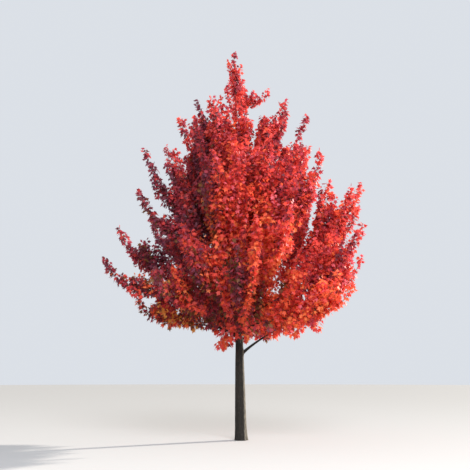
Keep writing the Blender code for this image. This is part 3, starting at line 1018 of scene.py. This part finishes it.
def tubesMesh(name, lines, rounding):
    # tapering tubes with closed ends, joined
    data = bpy.data.curves.new(name, "CURVE")
    data.dimensions = "3D"
    data.use_fill_caps = True
    data.bevel_depth = 1
    data.bevel_resolution = rounding
    for line, first, last in lines:
        spline = data.splines.new("POLY")
        spline.points.add(len(line) - 1)
        radii = steps(first, last, len(line))
        spline.points.foreach_set("co", [value for point in line for value in (*point, 1)])
        spline.points.foreach_set("radius", radii)
    curve = bpy.data.objects.new(name, data)
    bpy.context.scene.collection.objects.link(curve)
    bpy.context.view_layer.update()
    finished = curve.evaluated_get(bpy.context.evaluated_depsgraph_get())
    mesh = bpy.data.meshes.new_from_object(finished)
    bpy.data.objects.remove(curve)
    shape = bmesh.new()
    shape.from_mesh(mesh)
    bmesh.ops.remove_doubles(shape, verts=shape.verts, dist=0.00001)
    bmesh.ops.triangulate(shape, faces=[face for face in shape.faces if len(face.verts) > 4])
    bmesh.ops.recalc_face_normals(shape, faces=shape.faces)
    shape.to_mesh(mesh)
    shape.free()
    mesh.shade_smooth()
    return mesh


def barkTube(name, centres, frames, radiusOf, sides):
    # rings extruded one from the next, then set round their centres at radiusOf(ring, turn)
    shape = bmesh.new()
    bmesh.ops.create_circle(shape, cap_ends=True, radius=1, segments=sides)
    edges = list(shape.edges)
    for number in range(1, len(centres)):
        made = bmesh.ops.extrude_edge_only(shape, edges=edges)["geom"]
        moved = [item for item in made if isinstance(item, bmesh.types.BMVert)]
        bmesh.ops.translate(shape, verts=moved, vec=up)
        edges = [item for item in made if isinstance(item, bmesh.types.BMEdge)]
        edges = [edge for edge in edges if min(v.co.z for v in edge.verts) > number - 0.5]
    bmesh.ops.edgeloop_fill(shape, edges=edges)
    for vertex in shape.verts:
        ring = round(vertex.co.z)
        turn = math.atan2(vertex.co.y, vertex.co.x)
        side = frames[ring] @ Vector((math.cos(turn), math.sin(turn), 0))
        vertex.co = centres[ring] + side * radiusOf(ring, turn)
    bmesh.ops.recalc_face_normals(shape, faces=shape.faces)
    mesh = bpy.data.meshes.new(name)
    shape.to_mesh(mesh)
    shape.free()
    mesh.shade_smooth()
    return mesh


def trunkMesh():
    look = trunk
    heights = [0.0]
    step = look["ringStep"]
    while heights[-1] < look["top"]:
        heights.append(min(heights[-1] + step, look["top"]))
        step *= look["ringGrowth"]
    centres = [trunkCentre(height) for height in heights]
    forks = []
    for limb in limbs[:-1]:  # all but the leader, which carries the trunk on
        start = limb["curve"](0)
        away = (limb["curve"](look["collarHeading"]) - start).normalized()
        spot = start + away * trunkRadius(start.z) * look["collarOut"]
        forks.append((spot, limb["radius"] / limbRule["radiusMost"]))
    roundFlute, upFlute = look["fluteScale"]
    roundGrain, upGrain = look["furrowScale"]
    least = look["collarLeast"]

    def radiusOf(ring, turn):
        height = heights[ring]
        side = Vector((math.cos(turn), math.sin(turn), 0))
        radius = trunkRadius(height)
        ridge = 1 + look["rootRidgeDepth"] * math.cos(look["rootRidges"] * turn)
        radius += look["flare"] * ridge * math.exp(-height / look["flareHeight"])
        age = radius / trunk["taper"][0][1]
        radius += look["flute"] * age * noise.noise(side * roundFlute + up * height * upFlute)
        grain = noise.noise(Vector((side.x * roundGrain, side.y * roundGrain, height * upGrain)))
        groove = max(0, 1 - abs(grain) / look["furrowWidth"])
        radius -= look["furrowDepth"] * age ** 2 * groove
        point = centres[ring] + side * radius
        for spot, size in forks:
            away = (point - spot).length / (look["collarSize"] * (least + (1 - least) * size))
            if away < look["collarEnd"]:
                radius += look["collar"] * size * math.exp(-away * away)
        return radius

    flat = Matrix.Identity(3)
    return barkTube("trunkBark", centres, [flat] * len(centres), radiusOf, look["sides"])


boughLook = {
    "sides": 18,
    "step": 0.016,
    "ringsLeast": 8,
    "knobble": 0.0016,
    "knobbleScale": 14,
    "intoStem": 0.012,  # it ends inside the stem of its mass
    "endShare": 0.93,
    "lengthSamples": 12,
}


def boughMesh(limb):
    look = boughLook
    rule = limbRule
    sampled = steps(0, limb["bare"], look["lengthSamples"])
    length = lineLength([limb["curve"](share) for share in sampled])
    count = max(look["ringsLeast"], round(length / look["step"]))
    shares = steps(0, limb["bare"], count)
    centres = [limb["curve"](share) for share in shares]
    onward = (centres[-1] - centres[-2]).normalized()
    centres.append(centres[-1] + onward * look["intoStem"])
    headings = [(b - a).normalized() for a, b in zip(centres, centres[1:])]
    headings.append(headings[-1])
    frames = []
    for heading in headings:
        turned = basis(heading, up)
        frames.append(Matrix((turned.col[0], turned.col[2], turned.col[1])).transposed())

    def radiusOf(ring, turn):
        share = min(ring / (count - 1), 1)
        fromTrunk = (centres[ring] - centres[0]).length - trunkRadius(centres[0].z)
        swell = rule["collar"] * min(math.exp(-fromTrunk / rule["collarLength"]), 1)
        radius = boughRadius(limb, share) * (1 + swell)
        if ring == count:
            radius *= look["endShare"]
        around = Vector((math.cos(turn), math.sin(turn), 0))
        return radius + look["knobble"] * noise.noise(centres[ring] * look["knobbleScale"] + around)

    return barkTube("bark_" + limb["name"], centres, frames, radiusOf, look["sides"])


bark = barkMaterial()
smoothBark = twigMaterial()
newPiece("trunkBark", trunkMesh(), bark, "bark", "trunk")
for limb in limbs:
    if limb["bare"]:
        name = limb["name"]
        newPiece("boughBark_" + name, boughMesh(limb), bark, "bark", "bough_" + name)
print("bark made")

# a tube has four sides, and two more for each step of rounding
masses = ["foliage_" + limb["name"] for limb in limbs]
for name, lines, rounding in (
    ("limbStems", stems, 3), ("sideShoots", shoots, 1), ("fineTwigs", twigs, 0),
):
    newPiece(name, tubesMesh(name, lines, rounding), smoothBark, "bark", *masses)
print("twigs made")

leaves = withinReach(leaves)
draws = np.random.default_rng(limbRule["seed"])
mostLeaves = 19000  # in one piece
for tint, (colour, slotName) in leafTints.items():
    rows = [row for row in leaves if row[6] == tint]
    material = leafMaterial(tint + "MapleLeaf", colour)
    for part, start in enumerate(range(0, len(rows), mostLeaves), 1):
        some = rows[start:start + mostLeaves]
        name = f"{tint}Leaves{part}"
        nodes = sorted({masses[row[7]] for row in some})
        newPiece(name, leafMesh(name, some, draws), material, slotName, *nodes)
    print(tint, len(rows), "leaves")

# stage

stage = {
    "floor": "#ABAAA8",
    "floorRoughness": 0.9,
    "floorRadius": 70,
    "floorSides": 96,
    "sky": "#E6EBF2",
    "skyStrength": 0.90,
    "sunColour": "#FFF6EA",
    "sunStrength": 6.6,
    "sunBearing": math.radians(28),
    "sunHeight": math.radians(24),
    "sunSize": math.radians(2),
    "softBox": {
        "place": (3, -14, 12), "aim": (0, 0, 4.2), "width": 9, "energy": 3500, "colour": "#F6F8FF",
    },
}
camera = {
    "place": (-0.105, -11.02, 1.094),
    "pitch": math.radians(13.2),
    "focalPixels": 600,
    "framePixels": 470,
    "sensor": 36,  # mm
    "farthest": 300,
}


def makeStage():
    shape = bmesh.new()
    bmesh.ops.create_circle(
        shape, cap_ends=True, radius=stage["floorRadius"], segments=stage["floorSides"]
    )
    mesh = bpy.data.meshes.new("floor")
    shape.to_mesh(mesh)
    shape.free()
    made, tree = newMaterial("paleFloor")
    surface = addNode(
        tree, "ShaderNodeBsdfPrincipled",
        {"Base Color": linearColour(stage["floor"]), "Roughness": stage["floorRoughness"]},
    )
    addNode(tree, "ShaderNodeOutputMaterial", {}, {"Surface": surface.outputs["BSDF"]})
    mesh.materials.append(made)
    floor = bpy.data.objects.new("floor", mesh)
    bpy.context.scene.collection.objects.link(floor)

    world = bpy.data.worlds.new("studio")
    bpy.context.scene.world = world
    world.use_nodes = True
    background = world.node_tree.nodes["Background"]
    background.inputs["Color"].default_value = linearColour(stage["sky"])
    background.inputs["Strength"].default_value = stage["skyStrength"]

    light = bpy.data.lights.new("key", "SUN")
    light.energy = stage["sunStrength"]
    light.color = linearColour(stage["sunColour"])[:3]
    light.angle = stage["sunSize"]
    key = bpy.data.objects.new("key", light)
    bearing, height = stage["sunBearing"], stage["sunHeight"]
    level = Vector((math.cos(bearing), math.sin(bearing), 0))
    towards = level * math.cos(height) + up * math.sin(height)
    key.rotation_euler = towards.to_track_quat("Z", "Y").to_euler()
    bpy.context.scene.collection.objects.link(key)

    box = stage["softBox"]
    light = bpy.data.lights.new("softBox", "AREA")
    light.size = box["width"]
    light.energy = box["energy"]
    light.color = linearColour(box["colour"])[:3]
    fill = bpy.data.objects.new("softBox", light)
    fill.location = box["place"]
    back = Vector(box["place"]) - Vector(box["aim"])
    fill.rotation_euler = back.to_track_quat("Z", "Y").to_euler()
    bpy.context.scene.collection.objects.link(fill)

    view = bpy.data.cameras.new("view")
    view.sensor_width = camera["sensor"]
    view.lens = camera["focalPixels"] / camera["framePixels"] * camera["sensor"]
    view.clip_end = camera["farthest"]
    eye = bpy.data.objects.new("view", view)
    eye.location = camera["place"]
    eye.rotation_euler = (math.pi / 2 + camera["pitch"], 0, 0)
    bpy.context.scene.collection.objects.link(eye)
    bpy.context.scene.camera = eye
    bpy.context.scene.view_settings.view_transform = "Standard"


makeStage()
print("stage made")
